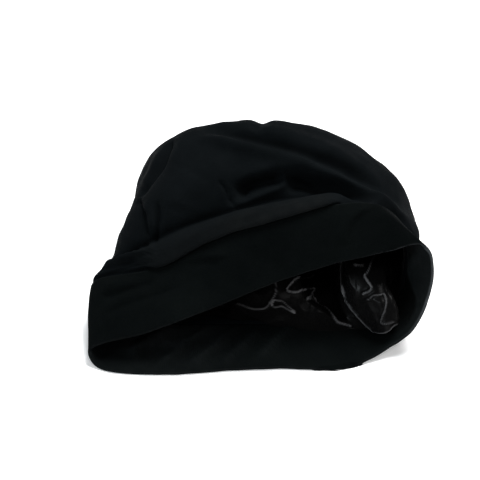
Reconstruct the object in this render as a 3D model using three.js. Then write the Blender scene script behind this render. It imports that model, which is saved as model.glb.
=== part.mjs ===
// A soft jersey skull cap with a satin lining, lying on its back with the mouth open to the front.
// Millimetres, +Z up. The cap rests on z = 0 with its mouth towards -Y, pinched at -X and wide open at +X.
//
// The cloth is one bag shape. SECTIONS gives rings round that bag, from the rim of the mouth to the tip
// of the crown, and FOLDS gives the ridges and creases in it. The band, the crown and the lining are walls
// that follow the bag at their own depth below its outside.

import * as THREE from 'three';
import { LoftGeometry } from 'three/addons/geometries/LoftGeometry.js';
import { mergeVertices } from 'three/addons/utils/BufferGeometryUtils.js';

const { euclideanModulo, lerp, mapLinear, smoothstep } = THREE.MathUtils;

// ----------------------------------------------------------------------------------------------------
// Driving sizes
// ----------------------------------------------------------------------------------------------------

const BAND_WIDTH = 45; // rim to the top edge of the band, along the cloth
const BAND_WALL = 2.8; // two layers of jersey with the seam allowance between them
const CROWN_WALL = 1.6; // one layer of jersey
const LINING_WALL = 1.0; // satin with its seams
const LAYER_GAP = 0.6; // air between one wall and the next
const ROLL_WIDTH_LEFT = 12; // the roll of crown cloth that bulges over the band's top edge
const ROLL_WIDTH_RIGHT = 21;
const ROLL_RISE = 4;
const CREASE_DEPTH = 5; // the crease where the roll turns under
const SEAM_TUCK = 6; // how far the crown reaches down behind the band
const CROWN_RISE = 6; // how soon above the band the crown comes out flush with it
const LINING_LAP = 4; // how far the lining reaches past the crown's raw edge
const LINING_SLACK = 8; // how far the lining keeps off the crown where the crown has folds
const FLOOR_SOFTNESS = 4; // how gently the cloth turns up from the floor

const COLUMNS = 60; // points round each ring
const COLUMN_CROWDING = 0.4; // how much closer they stand over the top, where the folds are

// ----------------------------------------------------------------------------------------------------
// The bag: rings round it, each through eight points, at a distance along the cloth from the rim
// ----------------------------------------------------------------------------------------------------

const COMPASS = ['right', 'upperRight', 'top', 'upperLeft', 'left', 'lowerLeft', 'bottom', 'lowerRight'];

const SECTIONS = [
  {
    name: 'rim', reach: 0,
    right: [123, 44, 48], upperRight: [114, 56, 70], top: [22, 40, 51], upperLeft: [-78, 15, 18],
    left: [-124, 13, 9], lowerLeft: [-106, 2, -6], bottom: [42, 1, -5], lowerRight: [100, 20, 14],
  },
  {
    name: 'bandTop', reach: BAND_WIDTH,
    right: [112, 76, 52], upperRight: [85, 82, 88], top: [20, 73, 84], upperLeft: [-66, 60, 48],
    left: [-121, 61, 30], lowerLeft: [-100, 50, -6], bottom: [28, 48, -8], lowerRight: [92, 53, 0],
  },
  {
    name: 'rollTop', reach: 63,
    right: [111, 91, 50], upperRight: [87, 96, 80], top: [20, 91, 90], upperLeft: [-66, 80, 68],
    left: [-107, 78, 36], lowerLeft: [-94, 66, -6], bottom: [22, 64, -8], lowerRight: [88, 68, -5],
  },
  {
    name: 'crownLow', reach: 85,
    right: [110, 103, 48], upperRight: [89, 111, 81], top: [16, 108, 100], upperLeft: [-68, 98, 85],
    left: [-102, 95, 46], lowerLeft: [-90, 84, -5], bottom: [16, 84, -8], lowerRight: [86, 86, -5],
  },
  {
    name: 'crownMiddle', reach: 115,
    right: [108, 121, 48], upperRight: [86, 131, 83], top: [14, 131, 107], upperLeft: [-65, 123, 96],
    left: [-95, 119, 52], lowerLeft: [-82, 106, -5], bottom: [10, 108, -8], lowerRight: [82, 106, -5],
  },
  {
    name: 'crownHigh', reach: 145,
    right: [95, 143, 48], upperRight: [70, 150, 81], top: [8, 151, 102], upperLeft: [-62, 147, 96],
    left: [-89, 142, 58], lowerLeft: [-72, 128, -4], bottom: [6, 130, -8], lowerRight: [72, 128, -4],
  },
  {
    name: 'crownBack', reach: 172,
    right: [79, 163, 46], upperRight: [56, 166, 71], top: [5, 168, 84], upperLeft: [-52, 164, 80],
    left: [-76, 161, 53], lowerLeft: [-60, 152, 4], bottom: [5, 154, -3], lowerRight: [62, 152, 2],
  },
  {
    name: 'crownEnd', reach: 193,
    right: [53, 176, 45], upperRight: [38, 179, 61], top: [5, 181, 68], upperLeft: [-32, 178, 65],
    left: [-47, 175, 47], lowerLeft: [-35, 172, 22], bottom: [5, 172, 14], lowerRight: [38, 172, 21],
  },
  {
    name: 'crownTip', reach: 214,
    right: [21, 184, 44], upperRight: [16, 185, 51], top: [5, 186, 54], upperLeft: [-8, 185, 52],
    left: [-13, 183, 44], lowerLeft: [-8, 182, 36], bottom: [5, 182, 33], lowerRight: [16, 182, 36],
  },
];
const TIP_REACH = SECTIONS.at(-1).reach;

// Ridges (rise above 0) and creases (below 0) in the crown. Each runs along a line of places on the cloth.
// A place is [round, reach]: the share of the way round from the right over the top, and the millimetres
// from the rim.
const FOLDS = [
  { name: 'mainRidge', line: [[0.34, 116], [0.255, 93], [0.183, 77], [0.08, 57]], width: 9, rise: 5 },
  { name: 'mainValley', line: [[0.32, 130], [0.27, 109], [0.205, 90], [0.13, 75]], width: 6, rise: -6 },
  { name: 'outerRidge', line: [[0.285, 128], [0.243, 120], [0.17, 96], [0.09, 78]], width: 9, rise: 3 },
  { name: 'topNotch', line: [[0.258, 168], [0.266, 145], [0.275, 124]], width: 5, rise: -6 },
  { name: 'pocket', line: [[0.305, 78], [0.27, 79], [0.225, 75], [0.18, 67]], width: 8, rise: -6 },
  { name: 'pocketFold', line: [[0.31, 65], [0.28, 67], [0.24, 71]], width: 4, rise: 3 },
  { name: 'leftShoulder', line: [[0.372, 126], [0.395, 108], [0.43, 102]], width: 5, rise: -5 },
  { name: 'leftPleat', line: [[0.44, 90], [0.418, 74], [0.408, 62]], width: 3.5, rise: -3 },
  { name: 'secondPleat', line: [[0.405, 82], [0.395, 72], [0.39, 62]], width: 3.5, rise: -3 },
  { name: 'smallGather', line: [[0.315, 78], [0.308, 72], [0.3, 62]], width: 3, rise: -2 },
];
// Waves of slack satin: how many go round the bag, the millimetres between them along it, and their height.
const CRUMPLES = [
  { turns: 5, pitch: 62, shift: 0.1, rise: 2.4 },
  { turns: -8, pitch: 47, shift: 0.45, rise: 2.0 },
  { turns: 3, pitch: -38, shift: 0.7, rise: 1.8 },
];

// One closed ring through a section's eight points.
function ringThrough(section) {
  const points = COMPASS.map((side) => new THREE.Vector3(...section[side]));
  return new THREE.CatmullRomCurve3(points, true, 'centripetal');
}
const RINGS = SECTIONS.map(ringThrough);

// The bag's point at a place, before the bag meets the floor.
function bagAt(round, reach) {
  const columnPoints = RINGS.map((ring) => ring.getPoint(round));
  let lower = SECTIONS.findIndex((section) => section.reach > reach) - 1;
  if (lower < 0) lower = reach <= 0 ? 0 : SECTIONS.length - 2;
  const before = Math.max(lower - 1, 0);
  const after = Math.min(lower + 2, SECTIONS.length - 1);
  const span = SECTIONS[lower + 1].reach - SECTIONS[lower].reach;
  const share = (reach - SECTIONS[lower].reach) / span;
  // Hermite blend with slopes per millimetre, so that uneven sections still join smoothly.
  const slopeAt = (a, b) => columnPoints[b].clone().sub(columnPoints[a])
    .multiplyScalar(span / (SECTIONS[b].reach - SECTIONS[a].reach));
  const slopeLow = slopeAt(before, lower + 1);
  const slopeHigh = slopeAt(lower, after);
  const s2 = share * share;
  const s3 = s2 * share;
  return new THREE.Vector3()
    .addScaledVector(columnPoints[lower], 2 * s3 - 3 * s2 + 1)
    .addScaledVector(slopeLow, s3 - 2 * s2 + share)
    .addScaledVector(columnPoints[lower + 1], -2 * s3 + 3 * s2)
    .addScaledVector(slopeHigh, s3 - s2);
}

// Cloth that would sink below the floor lies flat on it, and turns up from it in a soft curve.
function restOnFloor(point) {
  const soft = FLOOR_SOFTNESS;
  if (point.z <= -soft) point.z = 0;
  else if (point.z < soft) point.z = (point.z + soft) ** 2 / (4 * soft);
  return point;
}

const surfaceAt = (round, reach) => restOnFloor(bagAt(euclideanModulo(round, 1), reach));

function outwardAt(round, reach) {
  const aside = 1e-3;
  const near = Math.max(reach - 0.5, 0);
  const far = Math.min(reach + 0.5, TIP_REACH);
  const along = surfaceAt(round, far).sub(surfaceAt(round, near));
  const across = surfaceAt(round + aside, reach).sub(surfaceAt(round - aside, reach));
  return along.cross(across).normalize();
}

const bell = (distance, width) => Math.exp(-((distance / width) ** 2));

const FOLD_STEPS = 24;
const FOLD_CURVES = FOLDS.map(({ line, width, rise }) => {
  const places = line.map(([round, reach]) => surfaceAt(round, reach));
  return { points: new THREE.CatmullRomCurve3(places).getPoints(FOLD_STEPS), width, rise };
});

// How far a fold lifts the cloth at a point, fading towards the fold's two ends.
function foldLift({ points, width, rise }, point) {
  const distances = points.map((place) => place.distanceTo(point));
  const nearest = Math.min(...distances);
  const share = distances.indexOf(nearest) / FOLD_STEPS;
  return rise * bell(nearest, width) * Math.sin(Math.PI * lerp(0.15, 0.85, share));
}

// How much of the roll there is: full along the front and the left, gone at the right end and on the floor.
function rollShare(round) {
  const fadeIn = smoothstep(round, 0.14, 0.22);
  const fadeOut = 1 - smoothstep(round, 0.44, 0.5);
  return fadeIn * fadeOut;
}

// The roll over the band's top edge, and the crease that it ends in. It narrows from the right to the left.
function rollLift(round, reach) {
  const width = mapLinear(round, 0.18, 0.465, ROLL_WIDTH_RIGHT, ROLL_WIDTH_LEFT);
  const roll = ROLL_RISE * bell(reach - BAND_WIDTH - width / 2, width * 0.4);
  const crease = CREASE_DEPTH * bell(reach - BAND_WIDTH - width, 3.5);
  return rollShare(round) * (roll - crease);
}

// All folds together. There are none on the floor, or where the crown is behind the band.
function liftAt(round, reach) {
  const point = surfaceAt(round, reach);
  if (point.z <= FLOOR_SOFTNESS) return 0;
  const lift = FOLD_CURVES.reduce((sum, fold) => sum + foldLift(fold, point), rollLift(round, reach));
  return lift * smoothstep(reach, BAND_WIDTH, BAND_WIDTH + 4);
}

// ----------------------------------------------------------------------------------------------------
// Walls
// ----------------------------------------------------------------------------------------------------

// The ring at a reach, as far below the bag as depthAt says for each place.
function ringOf(reach, depthAt) {
  const ring = [];
  for (let i = 0; i < COLUMNS; i += 1) {
    const turn = 2 * Math.PI * (i / COLUMNS);
    const round = euclideanModulo((turn + COLUMN_CROWDING * Math.cos(turn)) / (2 * Math.PI), 1);
    ring.push(surfaceAt(round, reach).addScaledVector(outwardAt(round, reach), -depthAt(round, reach)));
  }
  return ring;
}

// A loft's rings welded into one closed skin, without the flat triangles where a ring shrinks to a point.
function weld(loft) {
  const bare = new THREE.BufferGeometry();
  bare.setAttribute('position', loft.getAttribute('position'));
  bare.setIndex(loft.index);
  const skin = mergeVertices(bare, 1e-3);
  const kept = [];
  for (let i = 0; i < skin.index.count; i += 3) {
    const [a, b, c] = [0, 1, 2].map((corner) => skin.index.getX(i + corner));
    if (a !== b && b !== c && c !== a) kept.push(a, b, c);
  }
  skin.setIndex(kept);
  skin.computeVertexNormals();
  return skin;
}

function clothPiece(name, rings, material) {
  const mesh = new THREE.Mesh(weld(new LoftGeometry(rings)), material);
  mesh.name = name;
  return mesh;
}

// A ring shrunk to its middle, which closes the tip of a bag.
function closingPoint(ring) {
  const middle = new THREE.Vector3();
  for (const point of ring) middle.addScaledVector(point, 1 / ring.length);
  return ring.map(() => middle);
}

// A bag's rings in one run: down its outside from the tip, round its edge, and up its inside.
function bagRings(reaches, depthAt, wall) {
  const outside = reaches.map((reach) => ringOf(reach, depthAt));
  const inside = reaches.map((reach) => ringOf(reach, (round, at) => depthAt(round, at) + wall));
  return [closingPoint(outside.at(-1)), ...outside.toReversed(), ...inside, closingPoint(inside.at(-1))];
}

const jersey = new THREE.MeshStandardMaterial({ color: 0x15181a, roughness: 0.85, metalness: 0 });
const bandJersey = new THREE.MeshStandardMaterial({ color: 0x121415, roughness: 0.9, metalness: 0 });
const satin = new THREE.MeshStandardMaterial({ color: 0x0b0b0c, roughness: 0.35, metalness: 0 });

// The band: a loop of doubled jersey, folded at the rim and rounded at its top edge.
function makeBand() {
  const rounding = 1.2;
  const along = [rounding, 8, 17, 26, 35, BAND_WIDTH - rounding];
  const rimEdge = [0, BAND_WALL / 2];
  const topEdge = [BAND_WIDTH, BAND_WALL / 2];
  const inside = along.map((reach) => [reach, BAND_WALL]);
  const outside = along.map((reach) => [reach, 0]);
  const profile = [rimEdge, ...inside, topEdge, ...outside.toReversed(), rimEdge];
  return clothPiece('band', profile.map(([reach, depth]) => ringOf(reach, () => depth)), bandJersey);
}

// The crown: one layer of jersey, tucked behind the band's top edge and closed at the tip.
function makeCrown() {
  const tucked = BAND_WALL + LAYER_GAP;
  const reaches = [
    BAND_WIDTH - SEAM_TUCK, BAND_WIDTH, 48, 51, 54, 57, 60, 63, 66, 70, 74, 79, 84, 90, 97, 105, 114,
    124, 135, 147, 158, 168, 178, 188, 199, TIP_REACH,
  ];
  const depthAt = (round, reach) => {
    const behindBand = 1 - smoothstep(reach, BAND_WIDTH, BAND_WIDTH + CROWN_RISE);
    return tucked * behindBand - liftAt(round, reach);
  };
  return clothPiece('crown', bagRings(reaches, depthAt, CROWN_WALL), jersey);
}

// How far the slack satin stands in from the crown: waves that run across each other, none at the seam.
function crumpleAt(round, reach) {
  let inward = 0;
  for (const { turns, pitch, shift, rise } of CRUMPLES) {
    const wave = 0.5 + 0.5 * Math.sin(2 * Math.PI * (turns * round + reach / pitch + shift));
    inward += rise * wave ** 2;
  }
  return inward * smoothstep(reach, BAND_WIDTH, BAND_WIDTH + 20) * (1 - smoothstep(reach, 165, 200));
}

// The lining: a slack bag of satin that starts over the crown's raw edge and hangs clear of its folds.
function makeLining() {
  const start = BAND_WIDTH - SEAM_TUCK - LINING_LAP;
  const onBand = BAND_WALL + LAYER_GAP;
  const onRawEdge = onBand + CROWN_WALL + LAYER_GAP;
  const onCrown = CROWN_WALL + LAYER_GAP;
  const reaches = [start, 40, 47, 55, 64, 76, 90, 104, 118, 132, 146, 158, 170, 184, 200];
  const depthAt = (round, reach) => {
    const overEdge = lerp(onBand, onRawEdge, smoothstep(reach, start, start + LINING_LAP));
    const settled = lerp(overEdge, onCrown, smoothstep(reach, 50, 62));
    const offFloor = smoothstep(bagAt(round, reach).z, 0, 25);
    const slack = LINING_SLACK * offFloor * smoothstep(reach, start + LINING_LAP, BAND_WIDTH + CROWN_RISE);
    return settled + slack + crumpleAt(round, reach);
  };
  return clothPiece('lining', bagRings(reaches, depthAt, LINING_WALL), satin);
}

const cap = new THREE.Group();
cap.add(makeBand(), makeCrown(), makeLining());

// The origin is on the floor, under the middle of the cap.
const extent = new THREE.Box3().setFromObject(cap, true);
const middle = extent.getCenter(new THREE.Vector3());
cap.position.set(-middle.x, -middle.y, -extent.min.z);

export default cap;
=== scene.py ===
# %% [markdown]
# # A black jersey skull cap with a satin lining
#
# This lesson dresses a soft cap that lies on its back with its mouth open. It is three sewn pieces: a wide
# band of doubled jersey, a crown of single jersey that rolls and creases where it meets the band, and a
# slack bag of satin inside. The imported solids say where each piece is. We rebuild each one as a fine sheet
# of cloth in the same place and give it a finish. First we load the solids, which are in metres, with the
# floor at z = 0 and the mouth towards -Y.

import math

import bpy
import numpy as np
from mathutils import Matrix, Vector, noise


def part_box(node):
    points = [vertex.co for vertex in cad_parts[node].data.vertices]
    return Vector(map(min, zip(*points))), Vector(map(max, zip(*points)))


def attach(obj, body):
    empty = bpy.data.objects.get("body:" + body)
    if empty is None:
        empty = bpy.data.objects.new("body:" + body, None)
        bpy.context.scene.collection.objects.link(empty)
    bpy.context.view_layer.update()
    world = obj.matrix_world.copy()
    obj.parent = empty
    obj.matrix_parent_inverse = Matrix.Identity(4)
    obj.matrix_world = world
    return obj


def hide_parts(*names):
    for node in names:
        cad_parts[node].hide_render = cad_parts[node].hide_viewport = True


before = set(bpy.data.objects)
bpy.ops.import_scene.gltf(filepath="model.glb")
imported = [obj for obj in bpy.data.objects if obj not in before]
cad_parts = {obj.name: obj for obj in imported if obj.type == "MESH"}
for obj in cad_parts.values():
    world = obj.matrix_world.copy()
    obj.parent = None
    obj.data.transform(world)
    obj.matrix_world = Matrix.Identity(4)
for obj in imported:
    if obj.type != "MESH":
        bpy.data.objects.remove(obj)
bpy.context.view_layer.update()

# %% [markdown]
# The camera comes first, because every later choice is judged through it. It stands in front of the mouth
# and looks down at 45 degrees through a long lens, which keeps the cap's proportions calm. It aims a little
# beside the cap and below it, so the cap isn't quite in the middle of the frame.

# %% The camera
CAMERA_DISTANCE = 1.6
CAMERA_TILT = math.radians(45)
LENS = 166.0  # mm, in front of a sensor 36 mm wide
AIM = Vector((-0.0145, 0.0, 0.045))
AIM_DROP = 0.0025  # how far the aim is lowered across the line of sight


def put(name, data):
    """Makes an object of some data and puts it in the scene."""
    made = bpy.data.objects.new(name, data)
    bpy.context.scene.collection.objects.link(made)
    return made


toward_camera = Vector((0, -math.cos(CAMERA_TILT), math.sin(CAMERA_TILT)))
up_in_view = Vector((0, math.sin(CAMERA_TILT), math.cos(CAMERA_TILT)))
aim = AIM - AIM_DROP * up_in_view
camera_data = bpy.data.cameras.new("camera")
camera_data.lens = LENS
camera_data.sensor_width = 36
camera = put("camera", camera_data)
camera.location = aim + CAMERA_DISTANCE * toward_camera
camera.rotation_euler = (-toward_camera).to_track_quat("-Z", "Y").to_euler()
bpy.context.scene.camera = camera
print("camera at", tuple(round(v, 3) for v in camera.location))

# %% [markdown]
# ## The form of the cloth
#
# A crumpled cap could be sculpted, or a clean cap could be dropped in a simulation. Neither gives us this
# cap in this position, so we describe its form directly, by rings round a bag from the rim to the tip. Each
# ring passes through eight points in millimetres, one for each side. A place on the cloth is then a pair:
# `turn`, the share of the way round from the right over the top, and `reach`, the millimetres along the
# cloth from the rim.

# %% The rings of the bag
MM = 0.001
SIDES = ("right", "upper right", "top", "upper left", "left", "lower left", "bottom", "lower right")


def ring(name, reach, *points):
    """One ring: its reach, and its point on each of the sides."""
    return dict(name=name, reach=reach, points=np.array(points, float))


RINGS = [
    ring("rim", 0, (123, 47, 54), (116, 58, 71), (22, 40, 48), (-76, 18, 26), (-122, 13, 10), (-106, 2, -6),
         (52, 6, -5), (107, 22, 18)),
    ring("band_top", 45, (108, 76, 52), (85, 82, 88), (20, 73, 84), (-66, 60, 48), (-120.5, 61, 30),
         (-100, 50, -6), (28, 48, -8), (92, 53, 0)),
    ring("roll_top", 63, (115, 91, 50), (87, 96, 80), (20, 91, 90), (-66, 80, 68), (-107, 78, 36),
         (-94, 66, -6), (22, 64, -8), (88, 68, -5)),
    ring("crown_low", 85, (114, 103, 48), (88, 111, 80), (17, 108, 102), (-68, 98, 84), (-101, 95, 46),
         (-90, 84, -5), (16, 84, -8), (86, 86, -5)),
    ring("crown_middle", 115, (109, 121, 48), (87, 130.5, 82.5), (15, 131, 108), (-65, 123, 94),
         (-91.5, 119, 52), (-82, 106, -5), (10, 108, -8), (82, 106, -5)),
    ring("crown_high", 145, (96, 143, 48), (72.5, 149.5, 82), (10, 152, 106.5), (-62, 147, 94),
         (-88, 142, 58), (-72, 128, -4), (6, 130, -8), (72, 128, -4)),
    ring("crown_back", 172, (79, 163, 46), (56, 166, 71), (5, 168, 84), (-52, 164, 80), (-76, 161, 53),
         (-60, 152, 4), (5, 154, -3), (62, 152, 2)),
    ring("crown_end", 193, (53, 176, 45), (38, 179, 61), (5, 181, 68), (-32, 178, 65), (-47, 175, 47),
         (-35, 172, 22), (5, 172, 14), (38, 172, 21)),
    ring("crown_tip", 214, (21, 184, 44), (16, 185, 51), (5, 186, 54), (-8, 185, 52), (-13, 183, 44),
         (-8, 182, 36), (5, 182, 33), (16, 182, 36)),
]
BAND_WIDTH = 45
TIP_REACH = RINGS[-1]["reach"]
print(len(RINGS), "rings, from", RINGS[0]["name"], "to", RINGS[-1]["name"], "at", TIP_REACH, "mm")

# %% [markdown]
# A ring is a Catmull-Rom loop: a curve that passes through its points and takes its slope from their
# neighbours. The spacing of the points is allowed for (the centripetal form), so close points don't make
# loops or kinks. The same curve will carry the folds and the roll, so it is a function of any four points.

# %% Curves through chosen points
def smoothstep(value, low, high):
    share = np.clip((value - low) / (high - low), 0, 1)
    return share * share * (3 - 2 * share)


def bell(distance, width):
    return np.exp(-((distance / width) ** 2))


def hermite(start, start_slope, end, end_slope, share):
    """Points on the cubic that leaves start and arrives at end with the given slopes."""
    square, cube = share**2, share**3
    leaving = (2 * cube - 3 * square + 1) * start + (cube - 2 * square + share) * start_slope
    return leaving + (3 * square - 2 * cube) * end + (cube - square) * end_slope


def curve_through(p0, p1, p2, p3, share):
    """Points between p1 and p2 on the centripetal Catmull-Rom curve through four points."""
    gaps = [np.linalg.norm(b - a, axis=-1, keepdims=True) ** 0.5 for a, b in ((p0, p1), (p1, p2), (p2, p3))]
    g0, g1, g2 = (np.maximum(gap, 1e-6) for gap in gaps)
    slope1 = ((p1 - p0) / g0 - (p2 - p0) / (g0 + g1) + (p2 - p1) / g1) * g1
    slope2 = ((p2 - p1) / g1 - (p3 - p1) / (g1 + g2) + (p3 - p2) / g2) * g1
    return hermite(p1, slope1, p2, slope2, share[..., None])


def run_through(chosen, steps):
    """A smooth run of points through all the chosen ones, with this many steps from each to the next."""
    padded = np.vstack([2 * chosen[0] - chosen[1], chosen, 2 * chosen[-1] - chosen[-2]])
    share = np.linspace(0, 1, steps, endpoint=False)
    spans = [curve_through(*[padded[i + k][None] for k in range(4)], share) for i in range(len(chosen) - 1)]
    return np.vstack(spans + [chosen[-1:]])


def ring_points(ring, turn):
    """Points of a ring at each share of the way round."""
    along = np.mod(turn, 1) * len(SIDES)
    first = np.floor(along).astype(int)
    four = [ring["points"][(first + step) % len(SIDES)] for step in (-1, 0, 1, 2)]
    return curve_through(*four, along - first)


halfway = ring_points(RINGS[0], np.arange(0.5, 8) / 8).round(1).tolist()
print("halfway between two sides the rim is at", dict(zip(SIDES, halfway)))

# %% [markdown]
# Between rings the surface is the same cubic, with slopes per millimetre of cloth, so a wide gap between
# two rings doesn't make it bulge. Blender could skin a net of curves too, but a formula gives us more: the
# point at any place on the cloth, and the direction out of the cap there.

# %% From a place on the cloth to a point in space
REACHES = np.array([ring["reach"] for ring in RINGS], float)
FLOOR_SOFTNESS = 4  # how gently the cloth turns up from the floor


def surface(turn, reach):
    """The cap's outside, in millimetres, for arrays of places. What would sink below the floor lies on it."""
    turn, reach = np.broadcast_arrays(np.asarray(turn, float), np.asarray(reach, float))
    rings = np.stack([ring_points(ring, turn) for ring in RINGS])
    low = np.clip(np.searchsorted(REACHES, reach, side="right") - 1, 0, len(RINGS) - 2)
    before, after = np.maximum(low - 1, 0), np.minimum(low + 2, len(RINGS) - 1)

    def at(index):
        return np.take_along_axis(rings, index[None, ..., None], axis=0)[0]

    span = (REACHES[low + 1] - REACHES[low])[..., None]
    slope_low = (at(low + 1) - at(before)) * span / (REACHES[low + 1] - REACHES[before])[..., None]
    slope_high = (at(after) - at(low)) * span / (REACHES[after] - REACHES[low])[..., None]
    share = ((reach - REACHES[low]) / span[..., 0])[..., None]
    points = hermite(at(low), slope_low, at(low + 1), slope_high, share)
    height, soft = points[..., 2], FLOOR_SOFTNESS
    rounded = np.where(height < soft, (np.maximum(height, -soft) + soft) ** 2 / (4 * soft), height)
    points[..., 2] = rounded
    return points


def unit(vectors):
    return vectors / np.maximum(np.linalg.norm(vectors, axis=-1, keepdims=True), 1e-9)


def point_and_outward(turn, reach):
    """At each place, the point on the cap's outside and the direction out of the cap."""
    aside, ahead = 1e-3, 0.5
    near, far = np.maximum(reach - ahead, 0), np.minimum(reach + ahead, TIP_REACH)
    along = surface(turn, far) - surface(turn, near)
    across = surface(turn + aside, reach) - surface(turn - aside, reach)
    return surface(turn, reach), unit(np.cross(along, across))


print("the tip is at", surface(0.0, TIP_REACH).round(1))

# %% [markdown]
# The rings have an origin of their own, so the bag is now moved to where the solid band is: centred on it
# from side to side, and level with its front. The floor is the same for both, so nothing moves in height.

# %% Meeting the solids
band_low, band_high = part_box("band")
band_edges = surface(np.linspace(0, 1, 720)[:, None], np.array([[0.0, BAND_WIDTH]]))
OFFSET = np.array([
    (band_low.x + band_high.x) / 2 / MM - (band_edges[..., 0].max() + band_edges[..., 0].min()) / 2,
    band_low.y / MM - band_edges[..., 1].min(),
    0,
])
rim_length = np.linalg.norm(np.diff(band_edges[:, 0], axis=0), axis=1).sum()
print("the rim is", round(rim_length), "mm round; the bag moves by", OFFSET.round(2), "mm to meet the solids")

# %% [markdown]
# ## Folds
#
# Every ridge and crease follows a short line of given places. How high the cloth stands there depends only
# on the distance to the line, so one function serves them all. A **ridge** is a soft bell. A **crease** is
# sharper at its bottom than a bell, as cloth is where it is pinched. A **lap** is a ridge with one steep
# side, where cloth leans over its neighbour and shades it: the steep side is on the right of the line as it
# runs.

# %% Measuring from a line
NEARLY_EVEN = (500, 1)  # about the millimetres in one turn, and in one millimetre of reach


def smooth_line(places, steps):
    """A smooth run of places through a few chosen ones."""
    return run_through(np.array(places, float) * NEARLY_EVEN, steps) / NEARLY_EVEN


def measure_from(posts, points, normals):
    """Distance of each point from a line of posts, its share of the way along, and its side of the line."""
    rails = posts[1:] - posts[:-1]
    best = np.full(len(points), np.inf)
    share, side = np.zeros(len(points)), np.ones(len(points))
    for k, rail in enumerate(rails):
        gap = points - posts[k]
        along = np.clip(gap @ rail / (rail @ rail), 0, 1)
        off = gap - along[:, None] * rail
        distance = np.linalg.norm(off, axis=1)
        nearer = distance < best
        best = np.where(nearer, distance, best)
        share = np.where(nearer, (k + along) / len(rails), share)
        side = np.where(nearer, np.sign(np.einsum("ij,ij->i", np.cross(rail, normals), off)), side)
    return best, share, side


print("a line through two places has", len(smooth_line([(0.1, 50), (0.2, 60)], 10)), "posts")

# %% [markdown]
# Each fold is then one entry in a list: its name, its width and rise in millimetres, its line and, if it
# isn't a ridge, its shape. Near its ends it fades. It is measured only from the points in a box round its
# line, because measuring every point from every fold would take most of the script's time.

# %% The three shapes of fold
SOFT_PART, SHARP_PART, SHARP_WIDTH = 0.45, 0.55, 0.45  # what a crease is made of
STEEP_SIDE = 0.35  # how wide the steep side of a lap is beside its other side
ROOM = 3  # how many widths away from its line a fold still counts
BEFORE_THE_END = -0.05  # fading starts here, so that a fold doesn't begin from nothing


def fold(name, width, rise, *line, shape="ridge"):
    return dict(name=name, shape=shape, width=width, rise=rise, line=line)


def fold_profile(shape, distance, side, width):
    """The height of a fold across its line, 1 at its crest."""
    if shape == "crease":
        sharp = np.exp(-np.abs(distance) / (SHARP_WIDTH * width))
        return SOFT_PART * bell(distance, width) + SHARP_PART * sharp
    if shape == "lap":
        return bell(distance, np.where(side > 0, STEEP_SIDE * width, width))
    return bell(distance, width)


def folds_lift(folds, points, normals, locate, steps=10, fading=0.2):
    """How far all folds lift each point. locate turns places on the cloth into points in space."""
    flat_points, flat_normals = points.reshape(-1, 3), normals.reshape(-1, 3)
    lift = np.zeros(len(flat_points))
    for one in folds:
        posts = locate(smooth_line(one["line"], steps))
        room = ROOM * one["width"]
        low, high = posts.min(axis=0) - room, posts.max(axis=0) + room
        near = np.all((flat_points > low) & (flat_points < high), axis=1)
        distance, share, side = measure_from(posts, flat_points[near], flat_normals[near])
        ends = smoothstep(share, BEFORE_THE_END, fading) * smoothstep(1 - share, BEFORE_THE_END, fading)
        lift[near] += one["rise"] * ends * fold_profile(one["shape"], distance, side, one["width"])
    return lift.reshape(points.shape[:-1])


def on_the_bag(places):
    return surface(places[:, 0], places[:, 1])


def highest(folds):
    return max(folds, key=lambda one: one["rise"])["name"]


for shape in ("ridge", "crease", "lap"):
    heights = [fold_profile(shape, 0.5, side, 1.0).round(2) for side in (1, -1)]
    print(shape, "half a width to the right and to the left of its line:", *heights)

# %% [markdown]
# ## From a grid of points to a sheet of cloth
#
# All three pieces are grids of rows along the cloth and columns round the mouth. An even grid would spend
# most of its squares where nobody looks, so columns crowd together where there is most to see, and rows
# have a chosen step on each stretch of cloth.

# %% Rows and columns
def columns(count, crowded_at, crowding):
    """Shares of the way round, closest together at one place. They start opposite that place."""
    even = crowded_at - 0.5 + np.linspace(0, 1, count, endpoint=False)
    return even - crowding / (2 * np.pi) * np.sin(2 * np.pi * (even - crowded_at))


def rows(*stretches):
    """Reaches with a chosen step on each stretch (from, to, step); the stretches join end to end."""
    parts = [np.linspace(a, b, max(round((b - a) / step), 1), endpoint=False) for a, b, step in stretches]
    return np.concatenate(parts + [[stretches[-1][1]]])


def grid_faces(row_count, column_count, last_row, last_column):
    """Corner rows and columns of each square of a grid. The last row or column may meet the first again."""
    row, column = np.divmod(np.arange(row_count * column_count), column_count)
    next_row, next_column = (row + 1) % last_row, (column + 1) % last_column
    corner_rows = np.stack([row, next_row, next_row, row], axis=1)
    return corner_rows, np.stack([column, column, next_column, next_column], axis=1)


print("rows half a millimetre apart:", rows((0, 2, 0.5)))
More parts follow.
